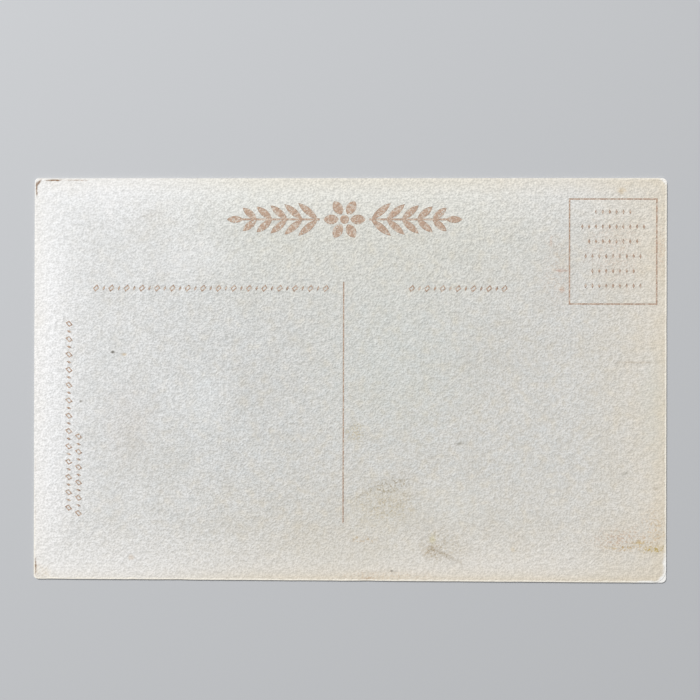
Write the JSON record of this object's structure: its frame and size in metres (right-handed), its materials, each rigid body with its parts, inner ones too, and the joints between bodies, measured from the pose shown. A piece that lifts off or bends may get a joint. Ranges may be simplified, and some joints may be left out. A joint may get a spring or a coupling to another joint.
{
  "type": "postcard",
  "caption": "Divided-back picture postcard of pasted paper sheets, with a ruled address side, a stamp box and an ornament, and a tinted landscape on its other face.",
  "frame": {"origin": "middle of the picture face, which lies on the table", "axes": "+X along the card towards the stamp box, +Y up the card, +Z out of the address side"},
  "size_m": [0.1396, 0.0888, 0.0004],
  "materials": {
    "felt_paper": "matte",
    "pulp_paper": "matte",
    "coated_paper": "matte",
    "starch_paste": "matte",
    "brown_ink": "matte",
    "rule_ink": "satin",
    "sky_ink": "satin",
    "sun_ink": "satin",
    "far_hill_ink": "satin",
    "near_hill_ink": "satin",
    "lake_ink": "satin",
    "shore_ink": "satin",
    "tree_ink": "satin"
  },
  "bodies": {
    "root": {"address_sheet": "felt_paper", "middle_sheet": "pulp_paper", "picture_sheet": "coated_paper", "lower_paste": "starch_paste", "upper_paste": "starch_paste", "heading_ornament": "brown_ink", "divider_rule": "brown_ink", "stamp_frame": "brown_ink", "stamp_rows": "brown_ink", "message_band": "brown_ink", "address_band": "brown_ink", "margin_bands": "brown_ink", "picture_rule": "rule_ink", "sky_tint": "sky_ink", "sun_tint": "sun_ink", "far_hills_tint": "far_hill_ink", "near_hills_tint": "near_hill_ink", "lake_tint": "lake_ink", "shore_tint": "shore_ink", "tree_tint": "tree_ink"}
  },
  "joints": []
}
